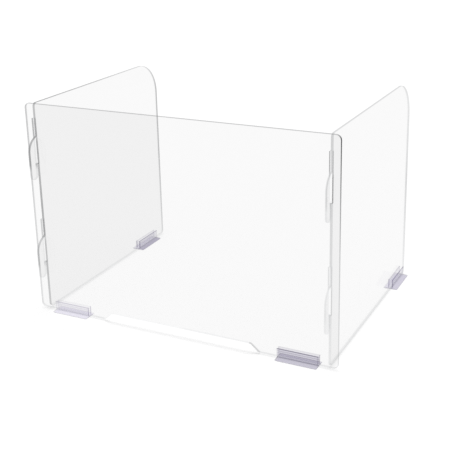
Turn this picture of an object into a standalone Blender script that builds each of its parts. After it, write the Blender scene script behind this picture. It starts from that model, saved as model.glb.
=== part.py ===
"""Three-sided clear acrylic desk shield.

A front panel stands across the desk. A side panel hooks on to each end of it: two tabs on the
side panel pass through slots in the front panel and drop down in front of it. Each panel stands
in clear PVC clips, whose soft fins grip the sheet and whose flat feet are stuck down with tape.

X runs along the front panel, Y runs back from it and Z is up. The origin is on the desk, under
the middle of the whole shield. All sizes are in metres.
"""

from math import acos, ceil, pi, sin, tan

import bmesh
import bpy
from mathutils import Vector

# Gap between pieces that touch.
GAP = 0.0003

# Acrylic sheet.
SHEET = 0.0045
PANEL_WIDTH = 0.610
PANEL_HEIGHT = 0.406
REAR_EDGE = 0.438  # from the front panel's front face to a side panel's rear edge
FRONT_CORNER_RADIUS = 0.009
SIDE_CORNER_RADIUS = 0.007
SIDE_TOP_REAR_RADIUS = 0.070

# Slots in the front panel. Heights are above the panel's bottom edge.
SLOT_INSET = 0.0165  # from the panel's end to the slot's middle
SLOT_WIDTH = 0.0053
SLOT_LENGTH = 0.0868
SLOT_BOTTOMS = (0.0955, 0.2915)
SLOT_CORNER_RADIUS = 0.0005

# Hooks on the side panels. Heights are above the slot's bottom.
HOOK_REACH = 0.019  # how far a hook stands out from the front panel's front face
HOOK_INNER_GAP = 0.0007  # from the front face to the tongue
TONGUE_DROP = 0.028
SHOULDER_HEIGHT = 0.0435
SHOULDER_RADIUS = 0.030
HOOK_TOP = 0.0525
HOOK_TOP_RADIUS = 0.003
TONGUE_INNER_RADIUS = 0.008
TONGUE_OUTER_RADIUS = 0.009
NOTCH_RADIUS = 0.0003

# Shallow cut-out at the bottom of the front panel.
CUTOUT_BOTTOM_WIDTH = 0.318
CUTOUT_TOP_WIDTH = 0.286
CUTOUT_HEIGHT = 0.0137
CUTOUT_LOWER_RADIUS = 0.006
CUTOUT_UPPER_RADIUS = 0.010

# Base clips. The profile is across the sheet, and heights are above the foot's underside.
CLIP_LENGTH = 0.0762
FOOT_HALF_WIDTH = 0.014
FOOT_THICKNESS = 0.0017
FOOT_EDGE = 0.0011  # the foot's thickness at its rim
FOOT_EDGE_RADIUS = 0.0004
FOOT_FLAT = 0.0018  # from a leg's outer face to where the foot starts to thin
CLIP_HEIGHT = 0.0188
LEG_OUTER = 0.00415  # from the sheet's middle to the leg's outer face
LEG_LIP_INNER = 0.0026
LEG_RECESS = 0.00335
LIP_HEIGHT = 0.0014
LIP_BEAD = 0.0003
LIP_OUTER_RADIUS = 0.0005
LIP_INNER_RADIUS = 0.00035
ROOT_RADIUS = 0.0009
INNER_ROOT_RADIUS = 0.0003
FRONT_CLIP_X = 0.2325
REAR_LEFT_CLIP_Y = 0.367  # behind the front panel's front face
REAR_RIGHT_CLIP_Y = 0.3875

# Soft fins on the inside of each leg.
FIN_PITCH = 0.0038
FIN_COUNT = 3
FIN_DEPTH = 0.00025
FIN_LAND = 0.0006
FIRST_FIN = 0.0032  # from the lining's top to the first fin's lower edge

# Foam tape under each clip.
TAPE_THICKNESS = 0.0008
TAPE_WIDTH = 0.0254
TAPE_LENGTH = 0.0742

# Places that follow from the sizes above.
FRONT_FACE_Y = HOOK_REACH - (REAR_EDGE + HOOK_REACH) / 2
FRONT_MIDDLE_Y = FRONT_FACE_Y + SHEET / 2
SIDE_X = PANEL_WIDTH / 2 - SLOT_INSET
CLIP_BOTTOM = TAPE_THICKNESS + GAP
PANEL_BOTTOM = CLIP_BOTTOM + FOOT_THICKNESS + GAP

AXIS_DISPLAY_SIZE = 0.02
ARC_SAG = 0.00002  # how far an arc's chords may lie inside it
QUARTER_TURN = pi / 2
SMOOTH_ANGLE = pi / 6

FINISHES = {
    "acrylic": {"colour": (0.93, 0.96, 0.95, 1), "roughness": 0.04, "clear": 1.0, "ior": 1.49},
    "pvc": {"colour": (0.80, 0.79, 0.90, 1), "roughness": 0.12, "clear": 0.85, "ior": 1.53},
    "soft_pvc": {"colour": (0.72, 0.71, 0.80, 1), "roughness": 0.35, "clear": 0.6, "ior": 1.53},
    "foam": {"colour": (0.88, 0.88, 0.87, 1), "roughness": 0.9, "clear": 0.0, "ior": 1.45},
}


def clear_scene():
    for thing in list(bpy.data.objects):
        bpy.data.objects.remove(thing, do_unlink=True)


def make_material(name, finish):
    material = bpy.data.materials.new(name)
    material.use_nodes = True
    shader = material.node_tree.nodes["Principled BSDF"]
    shader.inputs["Base Color"].default_value = finish["colour"]
    shader.inputs["Roughness"].default_value = finish["roughness"]
    shader.inputs["Transmission Weight"].default_value = finish["clear"]
    shader.inputs["IOR"].default_value = finish["ior"]
    shader.inputs["Metallic"].default_value = 0.0
    return material


def round_corners(corners):
    """The outline through corners (u, v, radius), with an arc where a corner has a radius."""
    outline = []
    for i, (u, v, radius) in enumerate(corners):
        corner = Vector((u, v))
        if radius == 0:
            outline.append(corner)
            continue
        back = (Vector(corners[i - 1][:2]) - corner).normalized()
        ahead = (Vector(corners[(i + 1) % len(corners)][:2]) - corner).normalized()
        half = back.angle(ahead) / 2
        centre = corner + (back + ahead).normalized() * radius / sin(half)
        start = (corner + back * radius / tan(half) - centre).normalized()
        end = (corner + ahead * radius / tan(half) - centre).normalized()
        steps = ceil(start.angle(end) / (2 * acos(1 - ARC_SAG / radius)))
        outline += [centre + start.slerp(end, k / steps) * radius for k in range(steps + 1)]
    return outline


def prism_mesh(name, outline, length, holes=()):
    """A solid of the given outline in the local XZ plane, centred along local Y."""
    shape = bmesh.new()
    rings = [[shape.verts.new((u, -length / 2, v)) for u, v in loop] for loop in (outline, *holes)]
    if holes:
        rims = [shape.edges.new((ring[i - 1], ring[i])) for ring in rings for i in range(len(ring))]
        filled = bmesh.ops.triangle_fill(shape, use_beauty=True, edges=rims)
        faces = [item for item in filled["geom"] if isinstance(item, bmesh.types.BMFace)]
    else:
        faces = [shape.faces.new(rings[0])]
    swept = bmesh.ops.extrude_face_region(shape, geom=faces, use_keep_orig=True)
    moved = [item for item in swept["geom"] if isinstance(item, bmesh.types.BMVert)]
    bmesh.ops.translate(shape, vec=(0, length, 0), verts=moved)
    bmesh.ops.recalc_face_normals(shape, faces=shape.faces)
    mesh = bpy.data.meshes.new(name)
    shape.to_mesh(mesh)
    shape.free()
    mesh.shade_smooth()
    mesh.set_sharp_from_angle(angle=SMOOTH_ANGLE)
    return mesh


def add_piece(name, mesh, finish, parent=None, location=(0, 0, 0), turn=0):
    piece = bpy.data.objects.new(name, mesh.copy())
    piece.data.name = name
    piece.data.materials.append(make_material(name + "_" + finish, FINISHES[finish]))
    piece.parent = parent
    piece.location = location
    piece.rotation_euler = (0, 0, turn)
    bpy.context.scene.collection.objects.link(piece)
    return piece


def add_axis(name, parent, location, turn=0):
    """An empty on a moving group's joint axis."""
    axis = bpy.data.objects.new(name, None)
    axis.empty_display_size = AXIS_DISPLAY_SIZE
    axis.parent = parent
    axis.location = location
    axis.rotation_euler = (0, 0, turn)
    bpy.context.scene.collection.objects.link(axis)
    return axis


def front_panel_outline():
    side = PANEL_WIDTH / 2
    lower = CUTOUT_BOTTOM_WIDTH / 2
    upper = CUTOUT_TOP_WIDTH / 2
    return round_corners([
        (-side, 0, FRONT_CORNER_RADIUS),
        (-lower, 0, CUTOUT_LOWER_RADIUS),
        (-upper, CUTOUT_HEIGHT, CUTOUT_UPPER_RADIUS),
        (upper, CUTOUT_HEIGHT, CUTOUT_UPPER_RADIUS),
        (lower, 0, CUTOUT_LOWER_RADIUS),
        (side, 0, FRONT_CORNER_RADIUS),
        (side, PANEL_HEIGHT, FRONT_CORNER_RADIUS),
        (-side, PANEL_HEIGHT, FRONT_CORNER_RADIUS),
    ])


def slot_outline(middle, bottom):
    left = middle - SLOT_WIDTH / 2
    right = middle + SLOT_WIDTH / 2
    top = bottom + SLOT_LENGTH
    return round_corners([
        (left, bottom, SLOT_CORNER_RADIUS),
        (right, bottom, SLOT_CORNER_RADIUS),
        (right, top, SLOT_CORNER_RADIUS),
        (left, top, SLOT_CORNER_RADIUS),
    ])


def add_front_panel():
    slots = [slot_outline(x, bottom) for x in (-SIDE_X, SIDE_X) for bottom in SLOT_BOTTOMS]
    mesh = prism_mesh("front_panel", front_panel_outline(), SHEET, slots)
    return add_piece("front_panel", mesh, "acrylic", location=(0, FRONT_MIDDLE_Y, PANEL_BOTTOM))


def hook_corners(slot_bottom):
    """A hook's corners on the way up a side panel's front edge. u is behind the front face."""
    edge = SHEET + GAP
    neck = slot_bottom + GAP
    tip = slot_bottom - TONGUE_DROP
    return [
        (edge, neck, NOTCH_RADIUS),
        (-HOOK_INNER_GAP, neck, NOTCH_RADIUS),
        (-HOOK_INNER_GAP, tip, TONGUE_INNER_RADIUS),
        (-HOOK_REACH, tip, TONGUE_OUTER_RADIUS),
        (-HOOK_REACH, slot_bottom + SHOULDER_HEIGHT, SHOULDER_RADIUS),
        (edge, slot_bottom + HOOK_TOP, HOOK_TOP_RADIUS),
    ]


def side_panel_outline():
    edge = SHEET + GAP
    corners = [
        (REAR_EDGE, 0, SIDE_CORNER_RADIUS),
        (edge, 0, SIDE_CORNER_RADIUS),
    ]
    for bottom in SLOT_BOTTOMS:
        corners += hook_corners(bottom)
    corners += [
        (edge, PANEL_HEIGHT, SIDE_CORNER_RADIUS),
        (REAR_EDGE, PANEL_HEIGHT, SIDE_TOP_REAR_RADIUS),
    ]
    return round_corners(corners)


def add_side_panel(name, x, mesh):
    """A side panel, whose lift axis is the upright line through its hooks at the front face."""
    axis = add_axis(name + "_lift", None, (x, FRONT_FACE_Y, PANEL_BOTTOM), QUARTER_TURN)
    add_piece(name, mesh, "acrylic", parent=axis)
    return axis


def clip_outline():
    """Half of the profile is worked out on the +u side, then mirrored."""
    top = CLIP_HEIGHT
    lip = top - LIP_HEIGHT
    bead = LEG_OUTER + LIP_BEAD
    half = [
        (FOOT_HALF_WIDTH, 0, FOOT_EDGE_RADIUS),
        (FOOT_HALF_WIDTH, FOOT_EDGE, FOOT_EDGE_RADIUS),
        (LEG_OUTER + FOOT_FLAT, FOOT_THICKNESS, 0),
        (LEG_OUTER, FOOT_THICKNESS, ROOT_RADIUS),
        (LEG_OUTER, lip - LIP_BEAD, 0),
        (bead, lip, 0),
        (bead, top, LIP_OUTER_RADIUS),
        (LEG_LIP_INNER + LIP_BEAD, top, LIP_INNER_RADIUS),
        (LEG_LIP_INNER, lip, 0),
        (LEG_RECESS, lip - LIP_BEAD, 0),
        (LEG_RECESS, FOOT_THICKNESS, INNER_ROOT_RADIUS),
    ]
    mirrored = [(-u, v, radius) for u, v, radius in reversed(half)]
    return round_corners(half + mirrored)


def fins_outline():
    """Sawtooth fins on a thin backing. They point down, the way the sheet pushes them."""
    back = LEG_RECESS - GAP
    root = SHEET / 2 + GAP + FIN_DEPTH
    tip = SHEET / 2 + GAP
    top = CLIP_HEIGHT - LIP_HEIGHT - LIP_BEAD - GAP
    bottom = FOOT_THICKNESS + ROOT_RADIUS
    points = [(back, bottom), (back, top), (root, top)]
    for k in range(FIN_COUNT):
        fin = top - FIRST_FIN - FIN_PITCH * k
        points += [(root, fin + FIN_PITCH / 2), (tip, fin + FIN_LAND), (tip, fin), (root, fin)]
    points.append((root, bottom))
    return [Vector(point) for point in points]


def tape_outline():
    half = TAPE_WIDTH / 2
    bottom = -CLIP_BOTTOM
    top = bottom + TAPE_THICKNESS
    return [Vector(point) for point in ((-half, bottom), (half, bottom), (half, top), (-half, top))]


def add_clip(name, sides, parent, location, turn):
    """One base clip on its own slide axis, with its fins and tape. sides names its two legs."""
    axis = add_axis(name + "_slide", parent, location, turn)
    clip_mesh = prism_mesh(name, clip_outline(), CLIP_LENGTH)
    fins_mesh = prism_mesh(name + "_fins", fins_outline(), CLIP_LENGTH)
    tape_mesh = prism_mesh(name + "_tape", tape_outline(), TAPE_LENGTH)
    add_piece(name, clip_mesh, "pvc", parent=axis)
    for k, side in enumerate(sides):
        add_piece(f"{name}_{side}_fins", fins_mesh, "soft_pvc", parent=axis, turn=pi * k)
    add_piece(name + "_tape", tape_mesh, "foam", parent=axis)


def add_front_clips():
    for name, x in (("front_left_clip", -FRONT_CLIP_X), ("front_right_clip", FRONT_CLIP_X)):
        add_clip(name, ("back", "front"), None, (x, FRONT_MIDDLE_Y, CLIP_BOTTOM), QUARTER_TURN)


def add_rear_clips(left_axis, right_axis):
    """The rear clips ride on the side panels' axes, where local X already runs back."""
    drop = CLIP_BOTTOM - PANEL_BOTTOM
    for name, axis, back, sides in (
        ("rear_left_clip", left_axis, REAR_LEFT_CLIP_Y, ("inner", "outer")),
        ("rear_right_clip", right_axis, REAR_RIGHT_CLIP_Y, ("outer", "inner")),
    ):
        add_clip(name, sides, axis, (back, 0, drop), -QUARTER_TURN)


def build():
    clear_scene()
    add_front_panel()
    side_mesh = prism_mesh("side_panel", side_panel_outline(), SHEET)
    left_axis = add_side_panel("left_side_panel", -SIDE_X, side_mesh)
    right_axis = add_side_panel("right_side_panel", SIDE_X, side_mesh)
    add_front_clips()
    add_rear_clips(left_axis, right_axis)
    bpy.context.view_layer.update()


build()
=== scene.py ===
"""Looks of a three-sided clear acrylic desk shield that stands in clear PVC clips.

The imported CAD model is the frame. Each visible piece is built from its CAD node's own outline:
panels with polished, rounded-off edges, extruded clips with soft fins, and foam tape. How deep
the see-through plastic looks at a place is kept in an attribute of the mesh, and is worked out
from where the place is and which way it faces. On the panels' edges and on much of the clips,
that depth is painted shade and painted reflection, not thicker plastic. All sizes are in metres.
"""

from math import ceil, cos, pi, radians, sin
from typing import NamedTuple

import bmesh
import bpy
from mathutils import Matrix, Vector


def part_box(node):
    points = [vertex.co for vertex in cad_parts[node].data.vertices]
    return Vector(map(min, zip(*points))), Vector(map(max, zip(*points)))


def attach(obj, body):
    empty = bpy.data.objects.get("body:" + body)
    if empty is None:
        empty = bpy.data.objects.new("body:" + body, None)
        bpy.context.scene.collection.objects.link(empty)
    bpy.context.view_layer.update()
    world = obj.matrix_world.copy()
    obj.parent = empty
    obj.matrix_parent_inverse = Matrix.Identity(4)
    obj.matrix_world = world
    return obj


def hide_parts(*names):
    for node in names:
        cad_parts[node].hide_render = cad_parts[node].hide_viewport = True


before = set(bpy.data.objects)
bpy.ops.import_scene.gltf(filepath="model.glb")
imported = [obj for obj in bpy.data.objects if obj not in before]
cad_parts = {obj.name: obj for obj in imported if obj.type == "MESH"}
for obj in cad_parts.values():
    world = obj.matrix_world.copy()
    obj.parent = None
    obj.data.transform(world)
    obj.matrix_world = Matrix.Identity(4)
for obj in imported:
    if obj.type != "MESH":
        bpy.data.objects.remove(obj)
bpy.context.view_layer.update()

# Camera, at the photograph's viewing angle. Its heading turns from +Y towards -X.
CAMERA_PLACE = (0.7735, -1.5295, 0.7912)
CAMERA_HEADING = radians(26.95)
CAMERA_PITCH = radians(17.40)
CAMERA_ROLL = radians(-1.41)
CAMERA_LENS = 74.7  # millimetres, on a 36 mm sensor
CAMERA_SHIFT = -0.12

# Studio. An even white room that is brighter overhead, with one broad lamp above and a little
# behind. The floor comes out a little brighter than white.
FLOOR_RADIUS = 14.0
FLOOR_SIDES = 96
FLOOR_COLOUR = (0.672, 0.672, 0.672, 1)
ROOM_STRENGTH = 1.03  # at the horizon
OVERHEAD_STRENGTH = 0.27  # on top of that straight up
LAMP_STRENGTH = 1.10
LAMP_ANGLE = radians(38)  # across it, as the floor sees it
LAMP_TILT = radians(17)
MOST_LAYERS = 64
LEAST_BOUNCES = 6

# Mesh work.
X, Y, Z = 0, 1, 2
WELD = 0.000001
FLAT = 0.99  # a face whose normal has this much of an axis lies across it
SMOOTH_ANGLE = radians(35)
QUARTER_TURN = pi / 2


class Edge(NamedTuple):
    """How dark a panel's edge is painted, from 0, clear, to 1, dark: painted shade and painted reflection
    that stand in for the light a polished edge bends and mirrors.
    """

    first: float  # at its top, or at its front where it faces up or down
    middle: float
    last: float  # at its bottom, or at its rear
    fill: float = 1.0  # how much of its width is this dark, about the middle
    rim: float = 1.0  # its arris is this many times as dark


# Painted shade and painted reflection on the panels' edges, by the way that an edge faces.
PANEL_ARRIS = 0.0004
PANEL_ARRIS_STEPS = 3
PANEL_PITCH = 0.012  # between an outline's points
PANEL_ROWS = (0.25, 0.37, 0.5, 0.63, 0.75)  # shares of the flat of an edge, across it
THICKNESS_AXIS = {"front_panel": Y, "left_side_panel": X, "right_side_panel": X}
EDGES = {
    "front_panel": {
        "-X": Edge(0.42, 0.32, 0.22),
        "+X": Edge(1.00, 0.33, 0.17),
        "-Z": Edge(0.15, 0.15, 0.15, rim=1.6),
        "+Z": Edge(0.41, 0.41, 0.41),
    },
    "left_side_panel": {
        "-Y": Edge(0.44, 0.59, 0.37),
        "+Y": Edge(0.50, 0.50, 0.27, fill=0.5),
        "-Z": Edge(0.11, 0.11, 0.11, rim=2.0),
        "+Z": Edge(0.55, 0.47, 0.22),
    },
    "right_side_panel": {
        "-Y": Edge(0.31, 0.22, 0.07),
        "+Y": Edge(0.15, 0.33, 0.13, fill=0.5),
        "-Z": Edge(0.12, 0.12, 0.12, rim=2.5),
        "+Z": Edge(0.30, 0.30, 0.30, fill=0.5),
    },
}
BESIDE_FILL = 0.3  # outside its fill an edge's painted shade is this many times as dark
HOOK_PAINTED_SHADES = {"left_side_panel": (0.50, 0.12), "right_side_panel": (0.30, 0.12)}  # painted shade on a hook's edge: neck, tongue
HOOK_FILLS = {"left_side_panel": 1.0, "right_side_panel": 0.5}
SLOT_PAINTED_SHADES = {  # painted shade on the slots' walls, on the left and on the right: above a hook's neck, then beside it
    -1: ((0.50, 0.30), (0.08, 0.60)),  # each for the wall that faces +X, then for the other one
    1: ((0.55, 0.35), (0.00, 0.70)),
}
LOWER_HOOKS = {-1: 0.7, 1: 0.4}  # the painted shade of the lower hooks and slots is this many times as dark
NECK_HEIGHT = 0.044  # a hook's neck takes up the lower half of its slot
CUTOUT_PAINTED_SHADES = {-1: (0.03, 0.06), 1: (0.08, 0.35)}  # painted shade on the cut-out's edge, along its top and round its corner
CUTOUT_SHADE = 1.0  # how much of the lamp's light its edge keeps from the floor
CUTOUT_REACH = 0.17  # it is nearer than this to the panel's middle
CUTOUT_TURN = 0.1  # how far an edge has turned from level where a corner starts
SLOT_COUNT = 4
SLOT_MARGIN = 0.010  # the slots are further than this from the front panel's ends
TONGUE_REACH = 0.030  # how far a hook's tongue may hang below its slot
LOW_PART = 0.02  # of a panel, up from its bottom edge
EDGE_CLEAR = (0.958, 0.961, 0.963, 1)  # what an edge lets through where it is clear
EDGE_DARK = (0.017, 0.018, 0.020, 1)  # and where its painted shade is darkest
EDGE_SURFACE = {"Base_Color": (0.76, 0.77, 0.78, 1), "Roughness": 0.15, "IOR": 1.49}
EDGE_COVER = 0.08  # how much of an edge's own surface shows
FACE_TINT = (0.956, 0.956, 0.956, 1)  # what one face of a sheet lets through
FACE_MIRROR = 0.03  # what a face mirrors when it is seen square on
GRAZING_MIRROR = 0.10  # what it mirrors on top of that at a grazing angle
GRAZING_POWER = 5.0  # how late that sets in
FACE_ROUGHNESS = 0.03


class Clip(NamedTuple):
    """How a clip lies and how dark its PVC is painted, much of it as painted shade. One leg, on the side
    set for its axis below, is painted darker than the other.
    """

    axis: int  # along it
    sides: tuple  # what its two rows of fins are called
    density: float  # how dark its PVC is painted, the same PVC in every clip: painted shade
    foot: float  # painted shade on the foot beside the darker leg
    lips: tuple  # painted shade at the tops of the paler leg and of the darker one
    ends: tuple  # painted shade by the paler end and by the darker one


X_SIDES = ("front", "back")
Y_SIDES = ("outer", "inner")
CLIPS = {
    "front_left_clip": Clip(X, X_SIDES, 0.27, 0.22, (0.12, 0.40), (0.10, 0.60)),
    "front_right_clip": Clip(X, X_SIDES, 1.0, 0.24, (0.12, 0.45), (0.06, 0.25)),
    "rear_left_clip": Clip(Y, Y_SIDES, 0.5, 0.55, (0.20, 0.60), (0.06, 0.45)),
    "rear_right_clip": Clip(Y, Y_SIDES, 0.5, 0.32, (0.30, 0.50), (0.06, 0.55)),
}
SHADED_LEG = {X: -1, Y: 1}  # the side, along the axis across the clip, whose leg is painted darker, as shade
SHADED_END = {X: 1, Y: -1}  # the end, along the clip's own axis, that is painted darker, as shade
END_BANDS = {X: 0.955, Y: 0.88}  # the legs are painted darker, as shade, past this share of the way to their ends
BAND_STEP = 0.002  # over this share of its length a clip's painted shade steps up to that by its end
LEG_PAINTED_SHADES = (0.00, 0.05)  # painted shade on the paler leg and on the darker one
ROOT_PAINTED_SHADES = (0.02, 0.40)  # painted shade likewise, at their thick roots in the crease above the foot
FAR_FOOT_PAINTED_SHADE = 0.0  # painted shade on the foot beside the paler leg
# Painted shade on the foot's rim and underside.
FOOT_RIM_PAINTED_SHADE = 0.20
CLIP_ARRIS = 0.00015
FIN_ARRIS = 0.00005
PROFILE_ARRIS_STEPS = 2
PROFILE_PITCH = 0.0006  # between a clip profile's points
TAPE_ARRIS = 0.00025
TAPE_ARRIS_STEPS = 3
TAPE_CORNER = 0.002
TAPE_CORNER_STEPS = 6
FOOT_TOP_FACING = 0.3  # below this a face of the foot is on its rim or underneath
FOOT_TOP = 0.0018  # this height and those that follow are above the underside of a clip's foot
ROOT_TOP = 0.0031
LIP_BOTTOM = 0.0172  # of a leg's thickened top
FIN_LINES = (0.0139, 0.0101, 0.0063)  # the fins' edges, along which lines of shade are painted
FIN_LINE_HALF = 0.0004  # half the height of such a line
# Painted shade along the fins' edges.
FIN_LINE_PAINTED_SHADE = 0.15
GRIP_TOP = 0.0101  # below this the fins are deeper
GRIP_DEPTH = 0.03
PVC_CLEAR = (0.955, 0.952, 0.962)
PVC_DARK = (0.20, 0.18, 0.27)
SOFT_CLEAR = (0.975, 0.973, 0.985)
END_CLEAR = (0.50, 0.49, 0.53)
PVC_SURFACE = {"Base_Color": (0.82, 0.81, 0.88, 1), "Roughness": 0.2, "IOR": 1.53}
END_SURFACE = {"Base_Color": (0.70, 0.69, 0.75, 1), "Roughness": 0.55, "IOR": 1.53}
PVC_COVER = 0.01  # how much of the PVC's own surface shows
FOAM_PALE = (0.67, 0.66, 0.70, 1)  # at a cell's middle
FOAM_GREY = (0.61, 0.605, 0.65, 1)  # between the cells
FOAM_ROUGHNESS = 0.9

# Textures. A scale is in cells to the metre.
WHITE = (1, 1, 1, 1)
BLACK = (0, 0, 0, 1)
WAVES = {"Scale": 7.0, "Detail": 2.0}
WAVE_BUMP = {"Strength": 0.15, "Distance": 0.002}
LINE_DETAIL = 3.0
LINE_STRETCH = 0.02  # noise is drawn out by one over this
CUT_SCALE = 400.0
CUT_UNEVENNESS = 0.1  # of the depth, from the palest mark to the darkest
CUT_BUMP = {"Strength": 0.2, "Distance": 0.0001}
DIE_SCALE = 1500.0
DIE_UNEVENNESS = 0.06
DIE_BUMP = {"Strength": 0.15, "Distance": 0.0001}
SAW_SCALE = 1200.0
SAW_DEPTH = 0.3  # at the darkest mark
SAW_BUMP = {"Strength": 0.4, "Distance": 0.0001}
CELL_SCALE = 2500.0
CELL_BUMP = {"Strength": 0.4, "Distance": 0.0002}


def panel_depth(node):
    """The depth function of a panel: how dark its edge is painted, as painted shade and reflection, by
    the way it faces and by where it is.
    """
    edges = EDGES[node]
    low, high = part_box(node)
    front_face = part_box("front_panel")[0].y
    slot_bottoms = [min(v for v, u in hole) for hole in slots()]
    middle = (low.z + high.z) / 2

    def depth(place, facing, inset, across):
        side = 1 if place.x > 0 else -1
        lower = LOWER_HOOKS[side] if place.z < middle else 1
        if node != "front_panel" and place.y < front_face:
            tongue = any(bottom - TONGUE_REACH < place.z < bottom for bottom in slot_bottoms)
            fill = 1 if across < HOOK_FILLS[node] else BESIDE_FILL
            return HOOK_PAINTED_SHADES[node][tongue] * lower * fill
        if node == "front_panel" and is_within(place, low, high):
            beside = any(bottom - WELD < place.z < bottom + NECK_HEIGHT for bottom in slot_bottoms)
            return SLOT_PAINTED_SHADES[side][beside][facing.x < 0] * abs(facing.x) * lower
        if node == "front_panel" and is_cutout(place, low):
            return CUTOUT_PAINTED_SHADES[side][abs(facing.x) > CUTOUT_TURN]
        total = 0
        for axis, part in enumerate(facing):
            if abs(part) < WELD:
                continue
            edge = edges["-+"[part > 0] + "XYZ"[axis]]
            if axis == Z:
                along = (place.y - low.y) / (high.y - low.y)
            else:
                along = (high.z - place.z) / (high.z - low.z)
            total += part * part * edge_depth(edge, along, inset, across)
        return min(total, 1)

    return depth


def edge_depth(edge, along, inset, across):
    """How dark an edge's painted shade is at a share of the way along it."""
    halves = 2 * min(along, 1)
    if halves < 1:
        dark = edge.first + (edge.middle - edge.first) * halves
    else:
        dark = edge.middle + (edge.last - edge.middle) * (halves - 1)
    if across > edge.fill:
        dark *= BESIDE_FILL
    return dark * (1 + (edge.rim - 1) * inset)


def is_within(place, low, high):
    """True well inside the front panel's outline, where only its slots have edges."""
    return abs(place.x) < high.x - SLOT_MARGIN and low.z + LOW_PART < place.z < high.z - LOW_PART


def is_cutout(place, low):
    """True on the edge of the front panel's cut-out."""
    return abs(place.x) < CUTOUT_REACH and low.z < place.z < low.z + LOW_PART


def slots():
    """The front panel's slots, as outlines of (z, x)."""
    return sorted(cap_outlines("front_panel", Y), key=len)[:SLOT_COUNT]


def cap_outlines(node, axis):
    """A CAD node's outline and holes, read off its flat cap on the + side of an axis.

    Each is a list of (u, v) points with the material on its left. u and v are the two axes that
    come after the given one."""
    shape = bmesh.new()
    shape.from_mesh(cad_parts[node].data)
    bmesh.ops.remove_doubles(shape, verts=shape.verts, dist=WELD)
    bmesh.ops.recalc_face_normals(shape, faces=shape.faces)
    onward = {}
    for face in shape.faces:
        if face.normal[axis] < FLAT:
            continue
        for corner in face.loops:
            if corner.link_loop_radial_next.face.normal[axis] < FLAT:
                onward[corner.vert] = corner.link_loop_next.vert
    outlines = []
    while onward:
        vert = next(iter(onward))
        outline = []
        while vert in onward:
            outline.append(Vector((vert.co[(axis + 1) % 3], vert.co[(axis + 2) % 3])))
            vert = onward.pop(vert)
        outlines.append(outline)
    shape.free()
    return outlines


def inward_ways(outline):
    """For each point, the way into the material, as long as keeps an inset's width even."""
    ways = []
    for i, point in enumerate(outline):
        before = (point - outline[i - 1]).normalized()
        after = (outline[(i + 1) % len(outline)] - point).normalized()
        way = Vector((-before.y - after.y, before.x + after.x)).normalized()
        ways.append(way / (way.y * after.x - way.x * after.y))
    return ways


def refined(outline, pitch):
    """The outline with points added, so that none are further apart than the pitch."""
    points = []
    for i, point in enumerate(outline):
        run = point - outline[i - 1]
        steps = ceil(run.length / pitch)
        points += [outline[i - 1] + run * k / steps for k in range(1, steps + 1)]
    return points


def rounded_corners(outline, radius):
    """A rectangle's outline with its corners rounded off."""
    points = []
    for i, corner in enumerate(outline):
        back = (outline[i - 1] - corner).normalized()
        ahead = (outline[(i + 1) % len(outline)] - corner).normalized()
        centre = corner + (back + ahead) * radius
        turns = [QUARTER_TURN * k / TAPE_CORNER_STEPS for k in range(TAPE_CORNER_STEPS + 1)]
        points += [centre - (ahead * cos(turn) + back * sin(turn)) * radius for turn in turns]
    return points


def rim_levels(low, high, arris, steps, rows):
    """The (inset, height) of each ring of points round a solid, from its low cap to its high one."""
    turns = [QUARTER_TURN * k / steps for k in range(steps + 1)]
    levels = [(arris * (1 - sin(turn)), low + arris * (1 - cos(turn))) for turn in turns]
    far_levels = [(inset, low + high - height) for inset, height in reversed(levels)]
    return levels + [(0, low + (high - low) * row) for row in rows] + far_levels


def rounded_solid(name, outlines, axis, low, high, arris, steps, depth, rows=(), shade=None):
    """The mesh of a solid across an axis from low to high, whose rims are rounded off by the arris.

    Its flat caps take material slot 0 and the rest takes slot 1. depth(place, facing, inset,
    across) is kept in the mesh's depth attribute: inset is 1 at the cap and 0 past the arris, and
    across is 0 at mid-thickness and 1 at the cap. shade(place) is kept in its shade attribute."""
    levels = rim_levels(low, high, arris, steps, rows)
    shape = bmesh.new()
    depths = shape.verts.layers.float.new("depth")
    shades = shape.verts.layers.float.new("shade")
    rims = [[], []]
    for outline in outlines:
        rings = []
        for inset, height in levels:
            across = abs(2 * height - low - high) / (high - low)
            ring = []
            for place, facing in ring_points(outline, axis, inset, height):
                vert = shape.verts.new(place)
                vert[depths] = depth(vert.co, facing, inset / arris, across)
                vert[shades] = shade(vert.co) if shade else 0
                ring.append(vert)
            rings.append(ring)
        add_walls(shape, rings)
        rims[0].append(rings[0])
        rims[1].append(rings[-1])
    for rings in rims:
        close_cap(shape, rings)
    bmesh.ops.recalc_face_normals(shape, faces=shape.faces)
    mesh = bpy.data.meshes.new(name)
    shape.to_mesh(mesh)
    shape.free()
    mesh.set_sharp_from_angle(angle=SMOOTH_ANGLE)
    return mesh


def ring_points(outline, axis, inset, height):
    """The points of an outline drawn in by the inset, each with the way that the solid faces there."""
    u, v = (axis + 1) % 3, (axis + 2) % 3
    points = []
    for point, way in zip(outline, inward_ways(outline)):
        place = Vector((0, 0, 0))
        place[axis] = height
        place[u], place[v] = point + way * inset
        facing = Vector((0, 0, 0))
        facing[u], facing[v] = -way.normalized()
        points.append((place, facing))
    return points


def add_walls(shape, rings):
    """Smooth faces between each ring of points and the next one."""
    for lower, upper in zip(rings, rings[1:]):
        for i in range(len(lower)):
            side = shape.faces.new((lower[i - 1], lower[i], upper[i], upper[i - 1]))
            side.smooth = True
            side.material_index = 1


def close_cap(shape, rings):
    """Fill the flat cap inside a ring of points, or between an outline's ring and its holes'."""
    if len(rings) == 1:
        shape.faces.new(rings[0])
        return
    around = [shape.edges.get((ring[i - 1], ring[i])) for ring in rings for i in range(len(ring))]
    bmesh.ops.triangle_fill(shape, use_beauty=True, edges=around)


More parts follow.
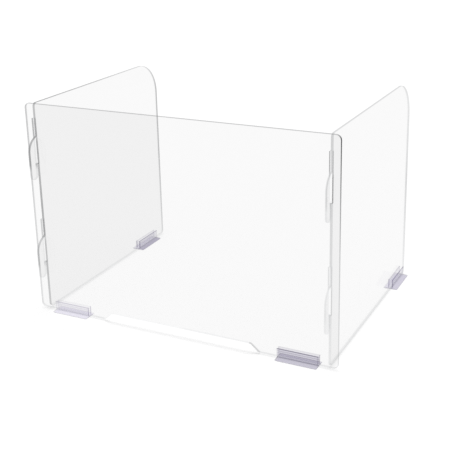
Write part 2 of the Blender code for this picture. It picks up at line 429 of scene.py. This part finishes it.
class Shading:
    """A material's node tree, with short calls to add a node and to link it."""

    def __init__(self, name):
        self.material = bpy.data.materials.new(name)
        self.material.use_nodes = True
        self.tree = self.material.node_tree
        self.tree.nodes.clear()
        self.output = self.tree.nodes.new("ShaderNodeOutputMaterial")

    def add(self, kind, settings=None, **inputs):
        """A new node. An input is a value, or another node's output to link from.

        An input is called by its name, with _ for a space, or by its number after a _."""
        node = self.tree.nodes.new("ShaderNode" + kind)
        for setting, value in (settings or {}).items():
            setattr(node, setting, value)
        for name, value in inputs.items():
            key = int(name[1:]) if name[0] == "_" else name.replace("_", " ")
            socket = node.inputs[key]
            if isinstance(value, bpy.types.NodeSocket):
                self.tree.links.new(value, socket)
            else:
                socket.default_value = value
        return node

    def finish(self, surface):
        """The material, with this node as its surface."""
        self.tree.links.new(surface.outputs[0], self.output.inputs["Surface"])
        return self.material


def acrylic_face():
    """Clear cast sheet: a faint grey tint, and gloss with the sheet's slow waviness."""
    s = Shading("acrylic_face")
    place = s.add("TexCoord").outputs["Object"]
    waves = s.add("TexNoise", Vector=place, **WAVES)
    bump = s.add("Bump", Height=waves.outputs[0], **WAVE_BUMP)
    facing = s.add("LayerWeight").outputs["Facing"]
    grazing = s.add("Math", {"operation": "POWER"}, _0=facing, _1=GRAZING_POWER).outputs[0]
    mirrored = s.add("Math", {"operation": "MULTIPLY_ADD"}, _0=grazing, _1=GRAZING_MIRROR, _2=FACE_MIRROR)
    clear = s.add("BsdfTransparent", Color=FACE_TINT)
    gloss = s.add("BsdfGlossy", Color=WHITE, Roughness=FACE_ROUGHNESS, Normal=bump.outputs[0])
    pane = s.add("MixShader", _0=mirrored.outputs[0], _1=clear.outputs[0], _2=gloss.outputs[0])
    return s.finish(shadeless(s, pane))


def shadeless(s, shader):
    """The shader as it is seen, but one that light passes freely, as it casts hardly any shade."""
    rays = s.add("LightPath").outputs
    passed = s.add("BsdfTransparent", Color=WHITE)
    for kind in ("Is Shadow Ray", "Is Diffuse Ray"):
        shader = s.add("MixShader", _0=rays[kind], _1=shader.outputs[0], _2=passed.outputs[0])
    return shader


def deep(s, depth, clear, dark):
    """A colour between clear and dark, by depth. The node's colour sockets only have numbers."""
    return s.add("Mix", {"data_type": "RGBA"}, Factor=depth, _6=clear, _7=dark).outputs[2]


def uneven_depth(s, noise, unevenness):
    """The mesh's depth attribute, a little more or less by the noise."""
    depth = s.add("Attribute", {"attribute_name": "depth"}).outputs["Fac"]
    uneven = s.add("Math", {"operation": "MULTIPLY_ADD"}, _0=noise, _1=unevenness, _2=-unevenness / 2)
    return s.add("Math", {"operation": "ADD"}, _0=uneven.outputs[0], _1=depth).outputs[0]


def coated(s, through, surface, cover, noise, bump):
    """A see-through colour under a share of its own bumpy surface."""
    clear = s.add("BsdfTransparent", Color=through)
    relief = s.add("Bump", Height=noise, **bump)
    gloss = s.add("BsdfPrincipled", Normal=relief.outputs[0], **surface)
    return s.add("MixShader", _0=cover, _1=clear.outputs[0], _2=gloss.outputs[0])


def acrylic_edge(axis):
    """Polished cut edge: it filters as the depth attribute says, which is painted shade and reflection,
    with cutting marks across it.

    It keeps as much of the lamp's light from what is behind it as the shade attribute says."""
    s = Shading("acrylic_edge_" + "xyz"[axis])
    marks = stretched_noise(s, axis, CUT_SCALE)
    through = deep(s, uneven_depth(s, marks, CUT_UNEVENNESS), EDGE_CLEAR, EDGE_DARK)
    edge = coated(s, through, EDGE_SURFACE, EDGE_COVER, marks, CUT_BUMP)
    shade = s.add("Attribute", {"attribute_name": "shade"}).outputs["Fac"]
    to_lamp = s.add("LightPath").outputs["Is Shadow Ray"]
    kept = s.add("Math", {"operation": "MULTIPLY"}, _0=shade, _1=to_lamp)
    dark = s.add("BsdfTransparent", Color=BLACK)
    return s.finish(s.add("MixShader", _0=kept.outputs[0], _1=edge.outputs[0], _2=dark.outputs[0]))


def stretched_noise(s, axis, scale):
    """Fine noise drawn out into lines along an axis."""
    stretch = [1, 1, 1]
    stretch[axis] = LINE_STRETCH
    place = s.add("TexCoord").outputs["Object"]
    along = s.add("VectorMath", {"operation": "MULTIPLY"}, _0=place, _1=stretch)
    return s.add("TexNoise", Vector=along.outputs[0], Scale=scale, Detail=LINE_DETAIL).outputs[0]


def faded(colour, density):
    """A see-through colour made paler or darker by a clip's shade density, which is painted shade."""
    return [part**density for part in colour] + [1]


def clip_pvc(name, axis, clear, density):
    """Clear violet-tinted PVC: it filters as the depth attribute says, mostly painted shade, with the
    die's fine lines.
    """
    s = Shading(name)
    lines = stretched_noise(s, axis, DIE_SCALE)
    depth = uneven_depth(s, lines, DIE_UNEVENNESS)
    through = deep(s, depth, faded(clear, density), faded(PVC_DARK, density))
    return s.finish(shadeless(s, coated(s, through, PVC_SURFACE, PVC_COVER, lines, DIE_BUMP)))


def sawn_end(name, density):
    """A clip's cut end: deeper than its sides, and matt with the saw's marks."""
    s = Shading(name)
    marks = stretched_noise(s, Z, SAW_SCALE)
    depth = s.add("Math", {"operation": "MULTIPLY"}, _0=marks, _1=SAW_DEPTH).outputs[0]
    through = deep(s, depth, faded(END_CLEAR, density), faded(PVC_DARK, density))
    return s.finish(shadeless(s, coated(s, through, END_SURFACE, PVC_COVER, marks, SAW_BUMP)))


def foam():
    """White closed-cell foam."""
    s = Shading("foam")
    place = s.add("TexCoord").outputs["Object"]
    cells = s.add("TexVoronoi", Vector=place, Scale=CELL_SCALE).outputs["Distance"]
    relief = s.add("Bump", Height=cells, **CELL_BUMP).outputs[0]
    colour = deep(s, cells, FOAM_PALE, FOAM_GREY)
    return s.finish(s.add("BsdfPrincipled", Base_Color=colour, Roughness=FOAM_ROUGHNESS, Normal=relief))


def add_piece(name, mesh, body, nodes, materials):
    """A piece that rides on a body and stands for CAD nodes."""
    piece = bpy.data.objects.new(name, mesh)
    bpy.context.scene.collection.objects.link(piece)
    for material in materials:
        mesh.materials.append(material)
    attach(piece, body)
    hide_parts(*nodes)


def add_panel(node, axis, face, edge):
    """A sheet made from its CAD node's outline and holes."""
    low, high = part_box(node)
    outlines = [refined(outline, PANEL_PITCH) for outline in cap_outlines(node, axis)]
    name = node + "_sheet"
    depth = panel_depth(node)

    def shade(place):
        return CUTOUT_SHADE if node == "front_panel" and is_cutout(place, low) else 0

    span = (low[axis], high[axis])
    mesh = rounded_solid(
        name, outlines, axis, *span, PANEL_ARRIS, PANEL_ARRIS_STEPS, depth, PANEL_ROWS, shade
    )
    add_piece(name, mesh, node, [node], (face, edge))


def clip_depth(clip, foot, middle):
    """A clip's depth function, mostly painted shade: by the height, by the side, and by how near an end
    it is.
    """
    beside = Y if clip.axis == X else X

    def depth(place, facing, inset, across):
        height = place.z - foot
        shaded_leg = (place[beside] - middle[beside]) * SHADED_LEG[clip.axis] > 0
        if height < FOOT_TOP:
            dark = clip.foot if shaded_leg else FAR_FOOT_PAINTED_SHADE
            return dark if facing.z > FOOT_TOP_FACING else max(dark, FOOT_RIM_PAINTED_SHADE)
        if height < ROOT_TOP:
            dark = ROOT_PAINTED_SHADES[shaded_leg]
        elif height < LIP_BOTTOM:
            dark = LEG_PAINTED_SHADES[shaded_leg]
        else:
            dark = clip.lips[shaded_leg]
        if across > END_BANDS[clip.axis]:
            shaded_end = (place[clip.axis] - middle[clip.axis]) * SHADED_END[clip.axis] > 0
            dark = max(dark, clip.ends[shaded_end])
        return dark

    return depth


def fins_depth(foot):
    """The fins' depth function: painted shade along their edges, and deeper where they close up on the
    sheet.
    """

    def depth(place, facing, inset, across):
        height = place.z - foot
        if any(abs(height - line) < FIN_LINE_HALF for line in FIN_LINES):
            return FIN_LINE_PAINTED_SHADE
        return 0.0 if height > GRIP_TOP else GRIP_DEPTH

    return depth


def no_depth(place, facing, inset, across):
    """The depth function of what isn't see-through."""
    return 0


def add_profile(name, node, body, axis, arris, depth, materials, rows=()):
    """An extruded piece made from its CAD node's profile."""
    low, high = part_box(node)
    outlines = [refined(outline, PROFILE_PITCH) for outline in cap_outlines(node, axis)]
    span = (low[axis], high[axis])
    mesh = rounded_solid(name, outlines, axis, *span, arris, PROFILE_ARRIS_STEPS, depth, rows)
    add_piece(name, mesh, body, [node], materials)


def add_clip(name, clip, tape_foam):
    """A clip with its fins and its tape. The clip's own node and its body have the same name."""
    axis = clip.axis
    low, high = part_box(name)
    end = sawn_end(name + "_end", clip.density)
    pvc = clip_pvc(name + "_pvc", axis, PVC_CLEAR, clip.density)
    soft = clip_pvc(name + "_soft_pvc", axis, SOFT_CLEAR, clip.density)
    depth = clip_depth(clip, low.z, (low + high) / 2)
    band = (1 - END_BANDS[axis]) / 2
    rows = (band - BAND_STEP, band + BAND_STEP, 1 - band - BAND_STEP, 1 - band + BAND_STEP)
    add_profile(name + "_body", name, name, axis, CLIP_ARRIS, depth, (end, pvc), rows)
    for side in clip.sides:
        node = f"{name}_{side}_fins"
        add_profile(node + "_strip", node, name, axis, FIN_ARRIS, fins_depth(low.z), (end, soft))
    add_tape(name + "_tape", name, tape_foam)


def add_tape(node, body, tape_foam):
    """A pad of foam tape with rounded corners."""
    low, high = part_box(node)
    name = node + "_pad"
    outlines = [rounded_corners(outline, TAPE_CORNER) for outline in cap_outlines(node, Z)]
    mesh = rounded_solid(name, outlines, Z, low.z, high.z, TAPE_ARRIS, TAPE_ARRIS_STEPS, no_depth)
    add_piece(name, mesh, body, [node], (tape_foam, tape_foam))


def add_floor():
    """A round white floor, wide enough to fill the view."""
    shape = bmesh.new()
    bmesh.ops.create_circle(shape, cap_ends=True, radius=FLOOR_RADIUS, segments=FLOOR_SIDES)
    mesh = bpy.data.meshes.new("floor")
    shape.to_mesh(mesh)
    shape.free()
    floor = bpy.data.objects.new("floor", mesh)
    bpy.context.scene.collection.objects.link(floor)
    s = Shading("floor_white")
    mesh.materials.append(s.finish(s.add("BsdfDiffuse", Color=FLOOR_COLOUR)))


def add_room_light():
    """Soft light from all round, that grows towards the zenith."""
    world = bpy.data.worlds.new("studio")
    world.use_nodes = True
    tree = world.node_tree
    direction = tree.nodes.new("ShaderNodeTexCoord")
    parts = tree.nodes.new("ShaderNodeSeparateXYZ")
    tree.links.new(direction.outputs["Generated"], parts.inputs[0])
    strength = tree.nodes.new("ShaderNodeMath")
    strength.operation = "MULTIPLY_ADD"
    tree.links.new(parts.outputs["Z"], strength.inputs[0])
    strength.inputs[1].default_value = OVERHEAD_STRENGTH
    strength.inputs[2].default_value = ROOM_STRENGTH
    background = tree.nodes["Background"]
    background.inputs["Color"].default_value = WHITE
    tree.links.new(strength.outputs[0], background.inputs["Strength"])
    world.cycles.sampling_method = "NONE"  # an even light is less noisy when only surfaces sample it
    bpy.context.scene.world = world


def add_lamp():
    """One broad soft lamp above and a little behind."""
    light = bpy.data.lights.new("overhead_lamp", "SUN")
    light.energy = LAMP_STRENGTH
    light.angle = LAMP_ANGLE
    lamp = bpy.data.objects.new("overhead_lamp", light)
    lamp.matrix_world = Matrix.Rotation(-LAMP_TILT, 4, "X")
    bpy.context.scene.collection.objects.link(lamp)


def add_camera():
    """The camera, rolled about its view, pitched down and turned, in that order."""
    lens = bpy.data.cameras.new("camera")
    lens.lens = CAMERA_LENS
    lens.shift_y = CAMERA_SHIFT
    camera = bpy.data.objects.new("camera", lens)
    turn = Matrix.Rotation(CAMERA_HEADING, 4, "Z") @ Matrix.Rotation(QUARTER_TURN - CAMERA_PITCH, 4, "X")
    camera.matrix_world = Matrix.Translation(CAMERA_PLACE) @ turn @ Matrix.Rotation(CAMERA_ROLL, 4, "Z")
    bpy.context.scene.collection.objects.link(camera)
    bpy.context.scene.camera = camera


def set_picture():
    """Plain colour, and light paths that go through every layer without being cut short at random."""
    scene = bpy.context.scene
    scene.view_settings.view_transform = "Standard"
    scene.cycles.transparent_max_bounces = MOST_LAYERS
    scene.cycles.min_transparent_bounces = MOST_LAYERS
    scene.cycles.min_light_bounces = LEAST_BOUNCES
    scene.cycles.use_denoising = False


add_camera()
add_room_light()
add_lamp()
add_floor()
set_picture()
face = acrylic_face()
edges = {axis: acrylic_edge(axis) for axis in (X, Y)}
for node, axis in THICKNESS_AXIS.items():
    add_panel(node, axis, face, edges[axis])
tape_foam = foam()
for name, clip in CLIPS.items():
    add_clip(name, clip, tape_foam)
